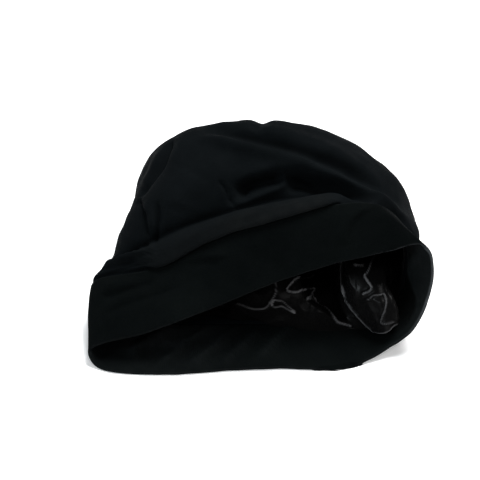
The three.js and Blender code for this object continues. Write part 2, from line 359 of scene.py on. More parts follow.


# %% [markdown]
# A grid of points becomes a mesh here. Each sheet gets a pattern map in metres of cloth, so that stitches
# keep their size all over, and can carry a number at each point for its finish to read, such as how worn
# the cloth is or where light is painted on it. A Solidify modifier gives a sheet its thickness: modelling
# both faces would double the work and let them cross where a fold is tight.

# %% A sheet and its wall
def sheet_object(name, turns, measures, points, closed="tip"):
    """A mesh object from points[row, column]. It closes round the cap, and at its tip or into a loop."""
    row_count, column_count = points.shape[:2]
    steps = row_count if closed == "loop" else row_count - 1
    face_rows, face_columns = grid_faces(steps, column_count, row_count, column_count)
    faces = (face_rows * column_count + face_columns).tolist()
    lengths = np.linalg.norm(np.roll(points, -1, axis=1) - points, axis=-1).sum(axis=1)
    lengths = np.append(lengths, lengths[0])[: steps + 1]
    wide = (np.append(turns, turns[0] + 1)[None] - turns[0] - 0.5) * lengths[:, None]
    pattern = np.stack([wide, np.broadcast_to(measures[: steps + 1, None], wide.shape)], axis=-1) * MM
    pattern_rows, pattern_columns = grid_faces(steps, column_count, steps + 2, column_count + 2)
    corners = pattern[pattern_rows, pattern_columns].reshape(-1, 2)
    places = points.reshape(-1, 3)
    if closed == "tip":
        start, tip = (row_count - 1) * column_count, row_count * column_count
        places = np.vstack([places, points[-1].mean(axis=0)])
        faces += [[start + (c + 1) % column_count, start + c, tip] for c in range(column_count)]
        edge, following = pattern[-1, :-1], pattern[-1, 1:]
        peak = (edge + following) / 2 + (0, MM)
        corners = np.vstack([corners, np.stack([following, edge, peak], axis=1).reshape(-1, 2)])
    mesh = bpy.data.meshes.new(name)
    mesh.from_pydata((places * MM).tolist(), [], faces)
    mesh.uv_layers.new(name="UVMap").data.foreach_set("uv", corners.astype(np.float32).ravel())
    mesh.shade_smooth()
    return put(name, mesh)


def mark(piece, name, shares):
    """Keeps a number for each point of a sheet, which its finish can read."""
    values = np.append(shares.ravel(), [0] * (len(piece.data.vertices) - shares.size))
    piece.data.attributes.new(name, "FLOAT", "POINT").data.foreach_set("value", values.astype(np.float32))


def thicken(piece, wall):
    """Gives a sheet its wall, on its inner side."""
    thickness = piece.modifiers.new("wall", "SOLIDIFY")
    thickness.thickness = wall * MM
    thickness.offset = -1
    thickness.use_quality_normals = True
    print(piece.name, "has about", 4 * len(piece.data.polygons), "triangles with its wall")


# %% [markdown]
# ## The crown
#
# The crown is one layer of jersey. It comes up from behind the band, leans out over the band's top edge in
# a full roll and turns under again at a sharp crease. The roll hangs over, so a height above the band can't
# describe it. We give its path in two numbers, a place along the surface and a height above it, and let the
# cloth's own measure run along that path.

# %% The roll over the band's top edge
BAND_WALL = 2.8
CROWN_WALL = 1.6
TUCK_DEPTH = BAND_WALL + 0.3
SEAM_TUCK = 2
ROLL_WIDTH = {  # by turn
    0.183: 17, 0.233: 15.5, 0.276: 15.3, 0.307: 14.8, 0.348: 15, 0.383: 15, 0.41: 13, 0.465: 9,
}
EDGE_RISE = {  # how far the band's top edge and the roll over it stand higher than their seam, by turn
    0.15: 0, 0.198: 2.5, 0.25: 1.7, 0.276: 2.2, 0.305: 5.0, 0.335: 5.6, 0.35: 4.6, 0.37: 2.6, 0.39: 1.2,
    0.41: 0.4, 0.43: 0,
}
ROLL_PATH = [  # measure along the cloth, reach, height
    (43, 43, -TUCK_DEPTH), (44.5, 44.5, -TUCK_DEPTH), (45.7, 45.7, -3.1), (47, 46.9, -1.6),
    (48, 46.7, 0.2), (49, 45.4, 0.7), (50, 44, 1.1), (51, 43.4, 2), (52, 43.7, 3.2),
    (53.5, 45.2, 4.1), (55.5, 47.6, 4.5),
]
ROLL_CREASE = 6.0  # how far below the surface the roll ends
ROLL_FULLNESS = 0.6  # how much higher its back stands between the nose and the crease
AFTER_THE_CREASE = 3.5  # over how many millimetres the crown comes up from the crease


def along_path(path, measure):
    """Reach and height at each measure along a path of a few chosen points, smoothed between them."""
    measures, reaches, heights = run_through(np.array(path, float), 12).T
    return np.interp(measure, measures, reaches), np.interp(measure, measures, heights)


def look_up(table, value):
    return np.interp(value, list(table), list(table.values()))


def by_turn(table, turn):
    return look_up(table, np.mod(turn, 1))


def rolled_places(turn, measure, crease):
    """Reach and height of the cloth that leans out over the band's edge and turns under at the crease."""
    nose_reach, nose_height = along_path(ROLL_PATH, measure)
    last_measure, last_reach, last_height = ROLL_PATH[-1]
    way = np.clip((measure - last_measure) / (crease - last_measure), 0, 1)
    rise = by_turn(EDGE_RISE, turn)
    back = last_reach + rise + way * (crease - last_reach - rise)
    reach = np.where(measure > last_measure, back, nose_reach + rise)
    top = last_height + ROLL_FULLNESS * np.sin(np.pi * way) - (last_height + ROLL_CREASE) * way**4
    height = np.where(measure > last_measure, top, nose_height)
    beyond = np.maximum(measure - crease, 0)
    height = np.where(beyond > 0, -ROLL_CREASE * np.exp(-beyond / AFTER_THE_CREASE), height)
    return np.where(beyond > 0, measure, reach), height


print("the roll is", min(ROLL_WIDTH.values()), "to", max(ROLL_WIDTH.values()), "mm wide")

# %% [markdown]
# The roll runs over the top of the band and dies away at both ends, where the crown only tucks in behind
# the band. So each form of the edge is worked out for the whole way round, and is present over one stretch.

# %% The crown's edge, all the way round
GAP_END = {0.05: 12, 0.10: 15, 0.20: 10, 0.36: 6, 0.42: 3.5}  # how far the crown stays sunk above the band
OVER_THE_EDGE = (0.165, 0.205, 0.375, 0.43)  # each stretch: start, full, fading and end, by turn
CREASED = (0.165, 0.20, 0.46, 0.49)
DIPPED, DIP, DIP_MIDDLE, DIP_WIDTH = (0.03, 0.08, 0.165, 0.195), 6, 7, 3.5  # a hollow right of the roll
TUCKED, TUCK = (0.09, 0.12, 0.18, 0.21), 3  # where the crown goes further down behind the band


def present(value, start, full, fading, end):
    """A share that is 1 over one stretch and fades out on both sides of it."""
    return smoothstep(value, start, full) * (1 - smoothstep(value, fading, end))


def crown_places(turn, measure):
    """Reach and height of the crown's cloth, before its folds."""
    turn = np.mod(turn, 1)
    crease = BAND_WIDTH + by_turn(ROLL_WIDTH, turn)
    roll_reach, roll_height = rolled_places(turn, measure, crease)
    gap_end = by_turn(GAP_END, turn)
    flat_height = -TUCK_DEPTH * (1 - smoothstep(measure, BAND_WIDTH + 0.2 * gap_end, BAND_WIDTH + gap_end))
    flat_height -= DIP * present(turn, *DIPPED) * bell(measure - BAND_WIDTH - DIP_MIDDLE, DIP_WIDTH)
    near_crease = smoothstep(measure, crease - 6, crease - 2)
    flat_height += (roll_height - flat_height) * present(turn, *CREASED) * near_crease
    over = present(turn, *OVER_THE_EDGE)
    tucked = TUCK * present(turn, *TUCKED) * (1 - smoothstep(measure, BAND_WIDTH - 2, BAND_WIDTH + 2))
    reach = measure + over * (roll_reach - measure) - tucked
    return reach, flat_height + over * (roll_height - flat_height)


print("the roll is present on", round(100 * (OVER_THE_EDGE[2] - OVER_THE_EDGE[1])), "% of the way round")

# %% [markdown]
# Above the roll the crown has slumped to the right in long folds that run down to the roll's right end,
# with a dark pocket under the longest one. The places below were chosen fold by fold.

# %% The crown's folds
CROWN_FOLDS = [
    fold("main_ridge", 6.5, 6, (0.335, 127), (0.316, 121), (0.286, 106), (0.255, 94), (0.226, 85),
         (0.196, 77), (0.159, 68), (0.114, 60), (0.07, 56)),
    fold("main_valley", 6, -6.5, (0.33, 137), (0.307, 126), (0.279, 113), (0.24, 102), (0.206, 92),
         (0.165, 82), (0.12, 70)),
    fold("outer_ridge", 8, 2.4, (0.29, 134), (0.243, 120), (0.203, 108), (0.17, 96), (0.12, 82)),
    fold("top_notch", 6, -3.2, (0.258, 170), (0.262, 150), (0.268, 136), (0.28, 124)),
    fold("bump_beside_the_notch", 9, -0.8, (0.3, 160), (0.298, 142), (0.3, 128)),
    fold("brow_of_the_pocket", 8, 3.6, (0.302, 70), (0.293, 78), (0.274, 80), (0.247, 82), (0.232, 82),
         (0.212, 77), (0.192, 73), (0.165, 66), shape="lap"),
    fold("upper_pocket", 5, -8.5, (0.3, 68), (0.288, 72), (0.27, 74), (0.25, 76)),
    fold("lower_pocket", 5.5, -10, (0.255, 70), (0.235, 71), (0.215, 69), (0.195, 66), (0.16, 61),
         (0.125, 56)),
    fold("fold_in_the_pocket", 3.8, 3.4, (0.312, 60), (0.298, 62), (0.276, 65), (0.259, 69), (0.24, 73)),
    fold("left_shoulder", 5, -6, (0.375, 140), (0.383, 130), (0.4, 111), (0.425, 103), (0.445, 100),
         shape="crease"),
    fold("left_flap", 6, 2, (0.4, 135), (0.418, 118), (0.44, 108)),
    fold("left_pleat", 3, -3.5, (0.445, 98), (0.435, 92), (0.418, 80), (0.413, 71), (0.408, 60),
         shape="crease"),
    fold("left_pleat_edge", 3.5, 1.6, (0.425, 88), (0.408, 79), (0.403, 70), (0.4, 62)),
    fold("second_pleat", 3.5, -3.5, (0.385, 82), (0.388, 72), (0.394, 63), (0.398, 58), shape="crease"),
    fold("second_pleat_edge", 3, 1.5, (0.378, 80), (0.381, 70), (0.386, 62)),
    fold("small_gather", 1.8, -2, (0.316, 82), (0.31, 74), (0.307, 66), (0.3, 59), shape="crease"),
    fold("gather_at_the_roll_end", 2, -2.4, (0.384, 53), (0.409, 53.5), (0.426, 52), (0.446, 51),
         shape="crease"),
    fold("gather_at_the_band_edge", 1.8, -1.5, (0.395, 50), (0.419, 49), (0.45, 47), shape="crease"),
    fold("slump_over_the_left", 14, 2, (0.345, 96), (0.355, 84), (0.365, 72)),
]
print(len(CROWN_FOLDS), "folds in the crown, the highest", highest(CROWN_FOLDS))

# %% [markdown]
# Between its folds, slack jersey is never quite smooth. A texture in the finish would leave its outline
# clean, so a little seeded noise, slow and low, moves the points themselves.

# %% Slack cloth between the folds
def slack(points, scale, seed):
    """Smooth seeded noise, about -1 to 1, for points in millimetres."""
    shift = Vector((seed * 13.7, seed * 5.1, seed * 9.3))
    values = [noise.noise(Vector(p) / scale + shift) for p in points.reshape(-1, 3).tolist()]
    return np.array(values).reshape(points.shape[:-1])


def lifted(base, height, outward):
    """Points at a height above the bag's surface, where the solids are, and never below the floor."""
    points = base + height[..., None] * outward + OFFSET
    points[..., 2] = np.maximum(points[..., 2], 0)
    return points


print("slack cloth, at the origin:", slack(np.zeros((1, 3)), 26, 1).round(3))

# %% [markdown]
# The folds begin a little above the roll, which keeps its own form, and right at the band where there is no
# roll. Nothing is lifted off the floor. At the tip the crown is drawn together in fifteen puckers.

# %% The crown's sheet
PAST_THE_ROLL = (0.375, 0.41, 0.50, 0.55)
PUCKERS, PUCKER_RISE, PUCKERS_START = 15, 1.6, 150


def crown_points(turns, measures):
    turn, measure = np.meshgrid(turns, measures)
    reach, height = crown_places(turn, measure)
    base, outward = point_and_outward(turn, reach)
    lift = folds_lift(CROWN_FOLDS, base, outward, on_the_bag)
    past = present(np.mod(turn, 1), *PAST_THE_ROLL)
    clear = smoothstep(measure, BAND_WIDTH + 9 - 8 * past, BAND_WIDTH + 14 - 11 * past)
    off_floor = smoothstep(base[..., 2], 2, 14)
    wander = 1.3 * slack(base, 26, 1) + 0.5 * slack(base, 9, 2)
    tip = smoothstep(measure, PUCKERS_START, TIP_REACH)
    puckers = PUCKER_RISE * tip * np.sin(2 * np.pi * (PUCKERS * turn + 0.4 * slack(base, 60, 3)))
    height = height + off_floor * (clear * (lift + wander) + puckers)
    return lifted(base, height, outward)


crown_turns = columns(330, crowded_at=0.27, crowding=0.45)
crown_rows = rows((BAND_WIDTH - SEAM_TUCK, 57, 0.6), (57, 86, 1.0), (86, 130, 1.6), (130, TIP_REACH, 2.7))
crown_sheet = crown_points(crown_turns, crown_rows)
crown = sheet_object("crown_cloth", crown_turns, crown_rows, crown_sheet)
thicken(crown, CROWN_WALL)
print("crown:", len(crown_rows), "rows by", len(crown_turns), "columns")

# %% [markdown]
# The roll is what a hand meets when the cap is picked up, so its nose is worn, less so towards its left end.
# The sheet carries that as a number at each point, and the finish will read it.

# %% Where the crown is worn
turn, measure = np.meshgrid(np.mod(crown_turns, 1), crown_rows)
roll_wear = (0.6 + 0.4 * (1 - smoothstep(turn, 0.29, 0.35))) * present(turn, 0.18, 0.22, 0.38, 0.44)
roll_wear = roll_wear * present(measure, 47, 52, 55, 62)
mark(crown, "wear_and_painted_light", roll_wear)
print("the crown is worn at", round(100 * float((roll_wear > 0).mean())), "% of its points")

# %% [markdown]
# ## The band
#
# The band is a strip of jersey folded in half. It is stiffer than the crown, so it has only a few soft
# folds, and it gathers most at its left end, where the cap is pressed flat. The streaks inside the mouth
# are where the doubled cloth buckles against the floor.

# %% The band's folds
BAND_FOLDS = [
    fold("soft_streak", 6, 2.2, (0.199, 14), (0.194, 23), (0.184, 30), (0.165, 36), (0.145, 41),
         shape="lap"),
    fold("pleat_wedge", 5, 2.2, (0.365, 46), (0.345, 44), (0.325, 40), (0.31, 36), shape="lap"),
    fold("under_the_pleat", 4, -1.4, (0.35, 40), (0.335, 38), (0.318, 33), shape="crease"),
    fold("left_gather_high", 3.5, -2.4, (0.47, 47), (0.455, 45), (0.428, 44), (0.403, 42), shape="crease"),
    fold("left_gather_middle", 4, -2.2, (0.466, 33), (0.448, 31), (0.415, 35), (0.385, 38), shape="crease"),
    fold("left_gather_low", 4.5, -1.8, (0.455, 19), (0.43, 23), (0.393, 27), (0.35, 29), shape="crease"),
    fold("left_puff", 5, 2, (0.462, 39), (0.435, 38), (0.41, 39)),
    fold("inner_streak_1", 3.6, -3.2, (0.64, 12), (0.652, 28), (0.67, 43)),
    fold("inner_streak_2", 3.6, -3.2, (0.66, 6), (0.675, 24), (0.692, 43)),
    fold("inner_streak_3", 3.6, -3.2, (0.675, 4), (0.692, 24), (0.71, 44)),
    fold("inner_streak_4", 3.6, -3.2, (0.69, 4), (0.705, 22), (0.722, 40)),
    fold("inner_streak_5", 3.6, -3.2, (0.707, 6), (0.727, 28), (0.75, 45)),
]
print(len(BAND_FOLDS), "folds in the band, the highest", highest(BAND_FOLDS))

# %% [markdown]
# Folded in half, the band is two layers thick and its rim is a soft round fold. A sheet with a wall would
# give it a square rim, so its cross-section is a closed loop instead: down the inside, round the rim and up
# the outside. The rim isn't a tidy ring either: a short table says how far it is drawn up or let down.

# %% The band's section
EDGE = BAND_WALL / 2
RIM_PULL = {  # how far the rim is drawn up, by turn
    0.10: 0, 0.13: 1, 0.165: -1.5, 0.188: 1, 0.21: 4.5, 0.235: 6, 0.26: 6, 0.285: 4.8, 0.31: 3, 0.35: 1.2,
    0.40: 0, 0.65: 0, 0.67: 0.3, 0.695: 3, 0.72: 2.6, 0.735: 0, 0.75: -3, 0.775: -2, 0.80: 0.8, 0.84: 3.2,
    0.88: 0.5, 0.91: 0,
}


def band_profile(rows_on_a_face=34, steps_round_an_edge=8):
    """The band's cross-section as reach and depth: down its inside, round the rim and up its outside."""
    straight = np.linspace(EDGE, BAND_WIDTH - EDGE, rows_on_a_face)
    half_turn = np.linspace(0, np.pi, steps_round_an_edge + 1)[1:-1]
    rim = [(EDGE - EDGE * np.sin(a), EDGE + EDGE * np.cos(a)) for a in half_turn]
    top = [(BAND_WIDTH - EDGE + EDGE * np.sin(a), EDGE - EDGE * np.cos(a)) for a in half_turn]
    inside = [(reach, BAND_WALL) for reach in straight[::-1]]
    return np.array(inside + rim + [(reach, 0.0) for reach in straight] + top)


profile = band_profile()
print("the band's section has", len(profile), "points")

# %% [markdown]
# The section is swept round the mouth at its depth inside the bag's surface. Both of its faces take the
# same folds, because the two layers move as one.

# %% The band's sheet
def band_points(turns, profile):
    """Points of the band's skin, and how far its folds lift them."""
    turn, reach = np.meshgrid(turns, profile[:, 0])
    pull = by_turn(RIM_PULL, turn) * (1 - smoothstep(reach, 0, 40))
    reach = reach + pull + by_turn(EDGE_RISE, turn) * smoothstep(reach, 15, BAND_WIDTH)
    depth = np.broadcast_to(profile[:, 1:2], turn.shape)
    base, outward = point_and_outward(turn, reach)
    lift = folds_lift(BAND_FOLDS, base, outward, on_the_bag)
    wander = 0.7 * slack(base, 30, 5) + 0.25 * slack(base, 8, 6)
    near_edge = 0.4 + 0.6 * smoothstep(BAND_WIDTH - reach, 0, 12)
    return lifted(base, near_edge * (lift + wander) - depth, outward), lift


band_turns = columns(400, crowded_at=0.30, crowding=0.25)
profile_steps = np.linalg.norm(np.diff(profile, axis=0, append=profile[:1]), axis=1)
profile_measure = np.concatenate([[0], np.cumsum(profile_steps)])
band_sheet, band_lift = band_points(band_turns, profile)
band = sheet_object("band_cloth", band_turns, profile_measure, band_sheet, closed="loop")
print("band:", len(band_turns), "columns,", 2 * len(band.data.polygons), "triangles")

# %% [markdown]
# The band's finish is marked with painted light at each point: a painted highlight along the rim fold,
# brightest on the right, and a thinner one along the top edge outside, weaker towards the left; painted light
# on the inner right wall and in the shaded hollow at the left of the mouth; and a little along the buckled
# streaks.

# %% Painted light on the band
reach, depth = profile.T
inside = depth > EDGE
# painted highlights: along the rim fold, and along the top edge on the outside face
at_the_rim = bell(reach, 0.8)
at_the_top = bell(BAND_WIDTH - reach, 0.6) * (depth < EDGE)
turn, about_right = np.mod(band_turns, 1), np.mod(band_turns + 0.5, 1) - 0.5
# where each painted light is strongest: the rim's painted highlight on the right, painted light on the inner
# right wall, painted light lifting the shade in the hollow at the left and lower left, and a weaker top-edge
# highlight towards the left
rim_highlight_full = present(about_right, -0.17, -0.06, 0.08, 0.20)
inside_painted_light = present(about_right, -0.17, -0.06, 0.06, 0.17)
hollow_painted_light = present(turn, 0.46, 0.50, 0.66, 0.72)
top_highlight_weaker = present(turn, 0.36, 0.40, 0.50, 0.55)
# painted light on the inside: the right wall, the shaded hollow (more of it towards the top edge) and the
# buckled streaks
wear_and_painted_light = np.outer(inside, 0.10 * inside_painted_light + 0.03 * hollow_painted_light)
wear_and_painted_light += np.outer(inside * smoothstep(reach, 10, 38), 0.18 * hollow_painted_light)
wear_and_painted_light += inside[:, None] * 0.03 * np.clip(-band_lift / 3, 0, 1)
# painted highlights on the rim and on the top edge
wear_and_painted_light = wear_and_painted_light + np.outer(at_the_rim, 0.09 + 0.91 * rim_highlight_full) + np.outer(at_the_top, 0.25 - 0.2 * top_highlight_weaker)
mark(band, "wear_and_painted_light", wear_and_painted_light)
print("the band's wear is", round(float(wear_and_painted_light.max()), 2), "at most")

# %% [markdown]
# ## The lining
#
# Satin is cut larger than the jersey round it, so it hangs slack. Here it stands up from the floor of the
# bag in two mounds, and the right one spills forward over the band. A simulation would give other mounds
# on each try, so each mound is a path that we choose: how far along the cap the satin has come, and how
# deep inside the jersey it stands, at each measure of its own length.

# %% The paths of the satin
LINING_WALL = 0.8
LINING_START, LINING_END = 35.0, 208
LINING_SEAM = {  # the reach that the lining starts from, by turn
    0.10: 43, 0.20: 35, 0.30: 35, 0.40: 46, 0.60: 52, 0.695: 54, 0.71: 49, 0.73: 42, 0.755: 37, 0.78: 35,
    0.86: 35, 0.93: 43, 1.0: 43,
}
STANDING = [  # measure along the cloth, reach, depth: satin that stands up from the floor of the bag
    (35, 35, 2.0), (38, 36.8, 4.4), (42, 39.5, 8), (48, 43.5, 13.5), (56, 48.8, 20), (66, 56, 27),
    (78, 65.5, 33.5), (92, 78, 37.5), (108, 93, 38), (128, 114, 32), (150, 140, 20), (175, 172, 9),
    (208, 208, 3),
]
SPILLING = [  # satin that also leans forward over the band
    (35, 35, 2.0), (38, 27.5, 4.2), (42, 20, 6.5), (46, 14, 9), (50, 12, 13), (56, 14, 19.5), (64, 19.5, 27),
    (75, 30, 34.5), (88, 43, 39), (102, 59, 41), (120, 80, 38), (140, 109, 29), (165, 149, 17),
    (185, 182, 8), (208, 208, 3),
]
NEAR_DEPTH = 8  # satin this near to the wall follows the wall, and beyond it the satin stands straight up
LEFT_MOUND_SHARE = 0.72  # the height of the left mound beside the right one
LEFT_MOUND_START, LEFT_MOUND_FULL = 0.685, 0.735
LEFT_MOUND_END = {38: 0.805, 50: 0.790, 64: 0.772, 100: 0.762}  # the turn where it ends, by measure
RIGHT_MOUND, LEANING_FORWARD = (0.806, 0.824, 0.87, 0.935), (0.812, 0.852, 0.878, 0.93)
print("the satin stands up to", max(depth for measure, reach, depth in SPILLING), "mm inside the jersey")

# %% [markdown]
# Away from the mounds the satin follows the jersey at a small distance. It keeps further off where the
# crown is creased above it, or the creases would cut through it. Near the wall it is measured along the
# wall's own direction, and deeper in it stands straight up, which keeps neighbouring threads from crossing.

# %% The satin away from its mounds
SEWN_DEPTH, CLEARANCE = 1.6, 0.6
UNDER_FOLDS, DEEPER_BY, UNDER_THE_POCKET = 15, 9, (0.06, 0.13, 0.26, 0.32)
AT_THE_NOTCH, NOTCH_DEPTH = (0.10, 0.13, 0.17, 0.20), 5  # where the crown dips behind the band
SATIN_WAVES = ((5, 62, 0.1, 2.4), (-8, 47, 0.45, 2.0), (3, -38, 0.7, 1.8))  # turns, pitch, shift, rise


def wave(turns_and_pitches):
    return np.sin(2 * np.pi * turns_and_pitches)


def settled_depth(turn, measure, late, start):
    """How deep the satin lies inside the jersey where it isn't in a mound."""
    on_edge, on_crown = TUCK_DEPTH + CROWN_WALL + CLEARANCE, CROWN_WALL + CLEARANCE
    over_edge = SEWN_DEPTH + (on_edge - SEWN_DEPTH) * smoothstep(measure + late, 35, 45)
    settled = over_edge + (on_crown - over_edge) * smoothstep(measure + late, 50, 62)
    settled = settled + (on_crown - settled) * smoothstep(start, 44, 48)
    off_floor = smoothstep(surface(turn, np.minimum(measure, TIP_REACH))[..., 2], 1, 25)
    under_folds = UNDER_FOLDS + DEEPER_BY * present(turn, *UNDER_THE_POCKET)
    fully_off = 49 + 40 * present(turn, 0.85, 0.95, 1.1, 1.2)
    keep_off = under_folds * off_floor * smoothstep(measure, 38, fully_off)
    keep_off += NOTCH_DEPTH * present(turn, *AT_THE_NOTCH) * smoothstep(measure, 36.5, 39.5)
    waves = sum(rise * (0.5 + 0.5 * wave(count * turn + measure / pitch + shift)) ** 2
                for count, pitch, shift, rise in SATIN_WAVES)
    return settled + keep_off + waves * smoothstep(measure, 45, 70) * (1 - smoothstep(measure, 165, 200))


print("the satin has", len(SATIN_WAVES), "slow waves under the jersey")

# %% [markdown]
# A mound takes the satin over from there, and fades out at both its sides. The threads don't run quite
# straight up it either: they stray a few millimetres, so its form never looks like a pipe.

# %% The satin with its mounds
def lining_places(turn, measure):
    """Reach and depth of the satin's outer face, before its ridges."""
    turn = np.mod(turn, 1)
    start = by_turn(LINING_SEAM, turn)
    late = (start - LINING_START) * np.clip((70 - measure) / 35, 0, 1)
    reach, depth = measure + late, settled_depth(turn, measure, late, start)
    left_end = look_up(LEFT_MOUND_END, measure)
    left_mound = smoothstep(turn, LEFT_MOUND_START, LEFT_MOUND_FULL)
    left_mound = left_mound * (1 - smoothstep(turn, left_end - 0.012, left_end + 0.012))
    right_mound, forward = present(turn, *RIGHT_MOUND), present(turn, *LEANING_FORWARD)
    standing, spilling = (np.stack(along_path(path, measure)) for path in (STANDING, SPILLING))
    mound_reach, mound_depth = standing + forward * (spilling - standing)
    reach = reach + (left_mound + right_mound) * (mound_reach + late - reach)
    depth = depth + (LEFT_MOUND_SHARE * left_mound + right_mound) * (mound_depth - depth)
    return reach, depth


def lining_base_points(turns, measures):
    turn, measure = np.meshgrid(turns, measures)
    anchored = smoothstep(measure, LINING_START, 50)
    strayed = 3.5 * wave(9 * turn + 0.2) + 2.5 * wave(17 * turn + measure / 70)
    reach, depth = lining_places(turn, np.clip(measure + strayed * anchored, LINING_START, LINING_END))
    base, outward = point_and_outward(turn, reach)
    points = base - np.minimum(depth, NEAR_DEPTH)[..., None] * outward
    mounded = np.mod(turn, 1) > 0.6
    beyond = np.maximum(depth - NEAR_DEPTH, 0)[..., None]
    return points + beyond * np.where(mounded[..., None], (0, 0, 1), -outward)


print("the right mound is full from turn", RIGHT_MOUND[1], "to", RIGHT_MOUND[2])

# %% [markdown]
# The mounds will carry ridges about a millimetre wide, which an even grid would break up into beads. So the
# columns are placed by a density: ten times closer over the mounds, and thirty times closer up the steep
# side of the right one, where one column would otherwise jump several millimetres of satin.

# %% The satin's rows and columns
def columns_by_density(count, start, density):
    """Shares of the way round from a start, as close together at each turn as density says."""
    fine = np.linspace(start, start + 1, 4001)
    passed = np.concatenate([[0], np.cumsum(density(fine[:-1]))])
    return np.interp(np.linspace(0, passed[-1], count, endpoint=False), passed, fine)


def satin_density(turn):
    return 1 + 9 * present(turn, 0.68, 0.705, 0.87, 0.90) + 20 * present(turn, 0.803, 0.808, 0.824, 0.830)


lining_turns = columns_by_density(340, 0.3, satin_density)
lining_rows = rows(
    (LINING_START, 36.5, 0.75), (36.5, 56, 0.42), (56, 90, 0.65), (90, 115, 1.25), (115, 140, 2.5),
    (140, LINING_END, 5.2))
lining_base = lining_base_points(lining_turns, lining_rows)
print("lining:", len(lining_rows), "rows by", len(lining_turns), "columns")

# %% [markdown]
# Slack satin buckles into thin ridges that catch lines of light along their crests. Lines in the finish
# alone would have no shadow and would look flat from another side, so each is charted as the jersey's folds
# are, as a real ridge about a millimetre high. The finish also paints a highlight along each crest.

# %% The satin's ridges
SATIN_RIDGES = [
    fold("left_v", 1.1, 1.05, (0.71, 62), (0.714, 59), (0.721, 54), (0.727, 54), (0.732, 61), (0.737, 74),
         (0.738, 88)),
    fold("small_loop_top", 0.6, 1.06, (0.732, 57), (0.735, 63), (0.74, 63), (0.743, 58), (0.748, 50)),
    fold("small_loop_low", 0.6, 1.06, (0.732, 60), (0.734, 55), (0.739, 56), (0.743, 53), (0.748, 49)),
    fold("zigzag_top", 0.6, 1.35, (0.794, 98), (0.782, 88), (0.766, 81), (0.749, 78), (0.746, 75),
         (0.755, 71), (0.768, 70), (0.787, 73)),
    fold("zigzag_middle", 0.6, 1.35, (0.786, 74), (0.784, 68), (0.773, 64), (0.765, 62), (0.772, 61),
         (0.783, 61)),
    fold("zigzag_low", 0.65, 1.25, (0.778, 66), (0.781, 61), (0.784, 54), (0.788, 46), (0.793, 41),
         (0.806, 39), (0.811, 38.5)),
    fold("long_arc_top", 1.2, 1.08, (0.823, 100), (0.8195, 88), (0.817, 76), (0.817, 68)),
    fold("long_arc", 0.9, 1.05, (0.817, 74), (0.817, 63), (0.821, 53), (0.83, 49), (0.84, 48), (0.851, 49),
         (0.864, 49), (0.872, 48)),
    fold("squiggle", 0.65, 1.25, (0.878, 122), (0.857, 110), (0.841, 100), (0.843, 91), (0.838, 80),
         (0.831, 72)),
    fold("peeping_fold", 1.2, 1.3, (0.832, 102), (0.838, 107), (0.845, 110)),
    fold("curl", 0.75, 1.01, (0.828, 66), (0.836, 72), (0.846, 82), (0.858, 82), (0.864, 74), (0.856, 68),
         (0.847, 60), (0.845, 56), (0.852, 54), (0.87, 51)),
]
print(len(SATIN_RIDGES), "ridges in the satin, the highest", highest(SATIN_RIDGES))

# %% [markdown]
# The ridges run over mounds that are far from the bag's surface, so they are measured from the satin's own
# grid. Sharp little crumples fill the rest. Where a ridge is highest, we keep a mark for the finish, which
# paints a highlight there.

# %% Laying the ridges on the satin
def grid_normals(points):
    """Directions out of the cap, from a sheet's own rows and columns."""
    along = np.gradient(points, axis=0)
    across = np.roll(points, -1, axis=1) - np.roll(points, 1, axis=1)
    return unit(np.cross(along, across))


def on_the_lining(places):
    """Points in space at places on the lining's own sheet."""
    across = np.interp(places[:, 0], lining_turns, np.arange(len(lining_turns)))
    down = np.interp(places[:, 1], lining_rows, np.arange(len(lining_rows)))
    left, upper = across.astype(int), down.astype(int)
    right = (left + 1) % len(lining_turns)
    lower = np.minimum(upper + 1, len(lining_rows) - 1)
    x, y = (across - left)[:, None], (down - upper)[:, None]
    near = lining_base[upper, left] * (1 - x) + lining_base[upper, right] * x
    far = lining_base[lower, left] * (1 - x) + lining_base[lower, right] * x
    return near * (1 - y) + far * y


def sharp_crumples(points, scale, seed):
    """Noise with sharp crests and broad hollows, 0 to 1."""
    return (1 - np.abs(slack(points, scale, seed))) ** 5


outward = grid_normals(lining_base)
ridge_lift = folds_lift(SATIN_RIDGES, lining_base, outward, on_the_lining, steps=6, fading=0.05)
free = smoothstep(lining_rows, 36, 50)[:, None]
crumple_lift = free * (1.1 * sharp_crumples(lining_base, 20, 11) + 0.3 * sharp_crumples(lining_base, 9, 12))
lining_sheet = lining_base - (ridge_lift + crumple_lift)[..., None] * outward + OFFSET
lining = sheet_object("lining_cloth", lining_turns, lining_rows, lining_sheet)
# the mark for the painted highlight along the crests
crest_highlight = smoothstep(ridge_lift, 0.85, 1.2)
mark(lining, "crest_highlight", crest_highlight)
thicken(lining, LINING_WALL)

# %% [markdown]
# ## Finishes
#
# Jersey is knitted. Its face shows columns of small V-shaped stitches, and its loose fibres catch a little
# light. Both could come from a ready-made texture, but a pattern worked out from the sheet's own measure
# keeps one stitch size everywhere. A small helper adds nodes and joins them, so that each finish reads from
# top to bottom.

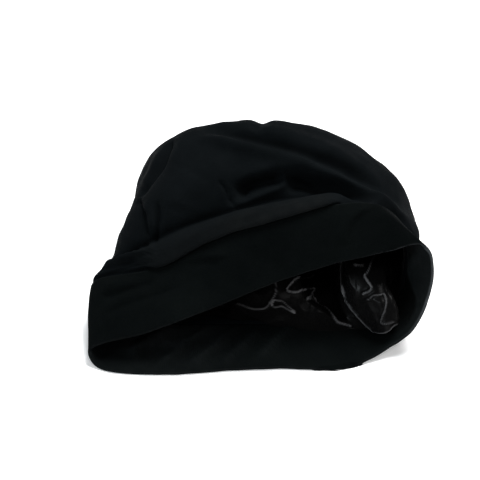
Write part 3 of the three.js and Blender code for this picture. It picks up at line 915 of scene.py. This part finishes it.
# %% A helper for node trees
class Finish:
    """A material and short ways to add nodes to it."""

    def __init__(self, name):
        self.material = bpy.data.materials.new(name)
        self.material.use_nodes = True
        self.tree = self.material.node_tree
        self.shader = self.tree.nodes["Principled BSDF"]

    def node(self, kind, inputs=(), **settings):
        made = self.tree.nodes.new("ShaderNode" + kind)
        for setting, value in settings.items():
            setattr(made, setting, value)
        for socket, value in dict(inputs).items():
            self.feed(made.inputs[socket], value)
        return made

    def feed(self, socket, value):
        if isinstance(value, bpy.types.NodeSocket):
            self.tree.links.new(value, socket)
        else:
            socket.default_value = value

    def math(self, operation, first, second=0.0, third=0.0):
        return self.node("Math", {0: first, 1: second, 2: third}, operation=operation).outputs[0]

    def blend(self, share, low, high):
        mix = self.node("Mix", data_type="RGBA")
        for socket, value in zip((mix.inputs[0], mix.inputs[6], mix.inputs[7]), (share, low, high)):
            self.feed(socket, (*value, 1) if isinstance(value, tuple) else value)
        return mix.outputs[2]

    def shade(self, sockets):
        """Gives sockets of the shader their values, or the nodes that feed them."""
        for socket, value in sockets.items():
            self.feed(self.shader.inputs[socket], value)

    def bump(self, height, distance, strength=1.0, under=None):
        made = self.node("Bump", {"Height": height, "Distance": distance, "Strength": strength})
        if under is not None:
            self.feed(made.inputs["Normal"], under)
        return made.outputs["Normal"]

    def noise(self, scale, detail=3.0, roughness=0.55):
        position = self.node("TexCoord").outputs["Object"]
        inputs = {"Vector": position, "Scale": scale, "Detail": detail, "Roughness": roughness}
        return self.node("TexNoise", inputs).outputs["Fac"]

    def range(self, value, low, high, to_low, to_high):
        inputs = {"Value": value, "From Min": low, "From Max": high, "To Min": to_low, "To Max": to_high}
        return self.node("MapRange", inputs, clamp=True).outputs["Result"]


# %% [markdown]
# One wale, a column of stitches, is 1.1 mm wide and one stitch is 0.9 mm tall. The height of the yarn is a
# ripple along the column, drawn downwards towards its middle. It falls off in the middle and at the sides,
# which leaves the two legs of each V. Where a sheet is marked, the cloth is paler: on the crown's roll this
# is wear, and on the band it is painted light, painted highlights on its rim and top edge and painted light
# inside the mouth.

# %% Jersey
WALE = 0.0011
COURSE = 0.0009


def jersey(name, dark, light, wear_and_painted_light_color, roughness):
    finish = Finish(name)
    pattern = finish.node("SeparateXYZ", {0: finish.node("UVMap", uv_map="UVMap").outputs["UV"]})
    across, up = pattern.outputs["X"], pattern.outputs["Y"]
    in_wale = finish.math("FRACT", finish.math("DIVIDE", across, WALE))
    from_middle = finish.math("ABSOLUTE", finish.math("MULTIPLY_ADD", in_wale, 2.0, -1.0))
    drawn = finish.math("MULTIPLY_ADD", from_middle, -0.8, finish.math("DIVIDE", up, COURSE))
    ripple = finish.math("SINE", finish.math("MULTIPLY", drawn, 2 * math.pi))
    yarn = finish.math("SINE", finish.math("MULTIPLY", from_middle, math.pi))
    stitches = finish.math("MULTIPLY_ADD", ripple, 0.35, yarn)
    fibres = finish.noise(900, detail=4)
    slubs = finish.noise(120)
    blotches = finish.noise(14)
    # the mark: wear on the crown's roll, painted light on the band; it pales the base colour towards the
    # third colour
    wear_and_painted_light = finish.node("Attribute", attribute_name="wear_and_painted_light").outputs["Fac"]
    wear_and_painted_light = finish.math("MULTIPLY", wear_and_painted_light, finish.range(slubs, 0.35, 0.65, 0.6, 1.0))
    shade = finish.range(blotches, 0.35, 0.65, 0.15, 0.85)
    shade = finish.math("MULTIPLY_ADD", finish.math("SUBTRACT", fibres, 0.5), 0.7, shade)
    finish.shade({
        "Base Color": finish.blend(wear_and_painted_light, finish.blend(shade, dark, light), wear_and_painted_light_color),
        "Roughness": finish.range(slubs, 0.3, 0.7, roughness + 0.05, roughness - 0.07),
    })
    relief = finish.bump(stitches, 0.00016, 0.6)
    relief = finish.bump(fibres, 0.00025, 0.5, relief)
    finish.shade({
        "Normal": finish.bump(slubs, 0.0006, 0.25, relief),
        "Specular IOR Level": 0.02, "Sheen Weight": 0.003, "Sheen Roughness": 0.4,
        "Sheen Tint": (0.85, 0.93, 1.0, 1),
    })
    return finish.material


crown.data.materials.append(jersey(
    "crown_jersey", (0.0015, 0.0022, 0.0026), (0.0034, 0.0045, 0.0052), (0.0046, 0.0053, 0.0055), 0.85))
# the band's third colour is the pale colour of its painted highlights and painted light
band.data.materials.append(jersey(
    "band_jersey", (0.0008, 0.0013, 0.0014), (0.0022, 0.0031, 0.0031), (0.040, 0.044, 0.047), 0.88))
print("jersey: wales", round(WALE / MM, 1), "mm, courses", round(COURSE / MM, 1), "mm")

# %% [markdown]
# Satin floats its threads over the surface in one direction, so it is dark from most sides and bright where
# a fold turns it to the light. The threads are too fine to model, so they are an anisotropic gloss with a
# faint streak along them. Along the crest of each ridge the finish paints a highlight: a pale base colour,
# broken a little by noise, that follows the mark that we kept.

# %% Satin
satin = Finish("lining_satin")
pattern = satin.node("UVMap", uv_map="UVMap").outputs["UV"]
stretched = satin.node("VectorMath", {0: pattern, 1: (2600.0, 260.0, 1.0)}, operation="MULTIPLY").outputs[0]
threads = satin.node("TexNoise", {"Vector": stretched, "Scale": 1.0, "Detail": 2.0}).outputs["Fac"]
ripples = satin.noise(160)
crest_share = satin.node("Attribute", attribute_name="crest_highlight").outputs["Fac"]
# painted highlight: the crests take a pale base colour, broken a little by noise
painted_crest_highlight = satin.math("MULTIPLY", crest_share, satin.range(satin.noise(220), 0.3, 0.6, 0.6, 1.0))
cloth_shade = satin.blend(threads, (0.0020, 0.0020, 0.0020), (0.0046, 0.0044, 0.0045))
satin.shade({
    "Base Color": satin.blend(painted_crest_highlight, cloth_shade, (0.13, 0.13, 0.135)),
    "Roughness": satin.range(threads, 0.3, 0.7, 0.24, 0.34),
    "Normal": satin.bump(ripples, 0.0008, 0.25, satin.bump(threads, 0.00005, 0.4)),
    "Specular IOR Level": 0.03, "Anisotropic": 0.4,
})
lining.data.materials.append(satin.material)
print("satin: its pale crests cover", round(100 * float((crest_highlight > 0.5).mean()), 1), "% of its points")

# %% [markdown]
# ## The floor and the light
#
# The cap lies on a plain pale floor that runs out of sight, so that no edge or horizon competes with it. A
# curved backdrop would do as well, but the camera looks down so steeply that a flat sheet fills its view.
# The floor glows faintly, as a lit table does, which keeps grey shadows from spreading beside the cap.

# %% The floor
floor_mesh = bpy.data.meshes.new("floor")
floor_mesh.from_pydata([(-30, -30, 0), (30, -30, 0), (30, 30, 0), (-30, 30, 0)], [], [(0, 1, 2, 3)])
floor = put("floor", floor_mesh)
backdrop = Finish("pale_floor")
backdrop.shade({
    "Base Color": backdrop.blend(backdrop.noise(3), (0.88, 0.88, 0.88), (0.92, 0.92, 0.92)),
    "Roughness": 0.9, "Emission Color": (1, 1, 1, 1), "Emission Strength": 0.3,
})
floor_mesh.materials.append(backdrop.material)
print("the floor is", round(floor.dimensions.x), "m wide")

# %% [markdown]
# Black cloth shows its form only by how its slopes differ, and even light would turn the cap into a flat
# shape. So one large lamp above and behind it rakes forward over the folds and leaves each crease its
# shadow. Three weak lamps and dim surroundings open the shadows at the sides and in the mouth.

# %% The light
def soft_light(name, place, size, power, color=(1, 1, 1)):
    data = bpy.data.lights.new(name, "AREA")
    data.shape = "RECTANGLE"
    data.size, data.size_y = size
    data.energy = power
    data.color = color
    light = put(name, data)
    light.location = place
    aim_at = Vector((0, 0, 0.05))
    light.rotation_euler = (Vector(place) - aim_at).to_track_quat("Z", "Y").to_euler()


world = bpy.data.worlds.new("studio")
world.use_nodes = True
surroundings = world.node_tree.nodes["Background"].inputs
surroundings["Color"].default_value = (1, 1, 1, 1)
surroundings["Strength"].default_value = 0.08
bpy.context.scene.world = world
soft_light("light_above_behind", (0.5, 0.7, 1.9), (1.1, 0.9), 80)
soft_light("light_left", (-1.6, -0.6, 0.6), (0.3, 0.3), 16, (0.85, 0.95, 1.0))
soft_light("light_right", (1.5, -0.45, 0.8), (0.3, 0.3), 6)
soft_light("light_front_high", (0.2, -0.9, 1.7), (0.5, 0.5), 5)
bpy.context.scene.view_settings.view_transform = "Standard"

# %% [markdown]
# ## Joining the pieces to the frame
#
# The cap has no stiff part that turns on another: its cloth stretches and folds anywhere. So it is one
# body, all three pieces ride on it, and each takes the place of the solid that it dresses.

# %% The body that carries the cap
for piece, node, slot in ((crown, "crown", "crown_jersey"), (band, "band", "band_jersey"),
                          (lining, "lining", "lining_satin")):
    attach(piece, "root")
    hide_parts(node)
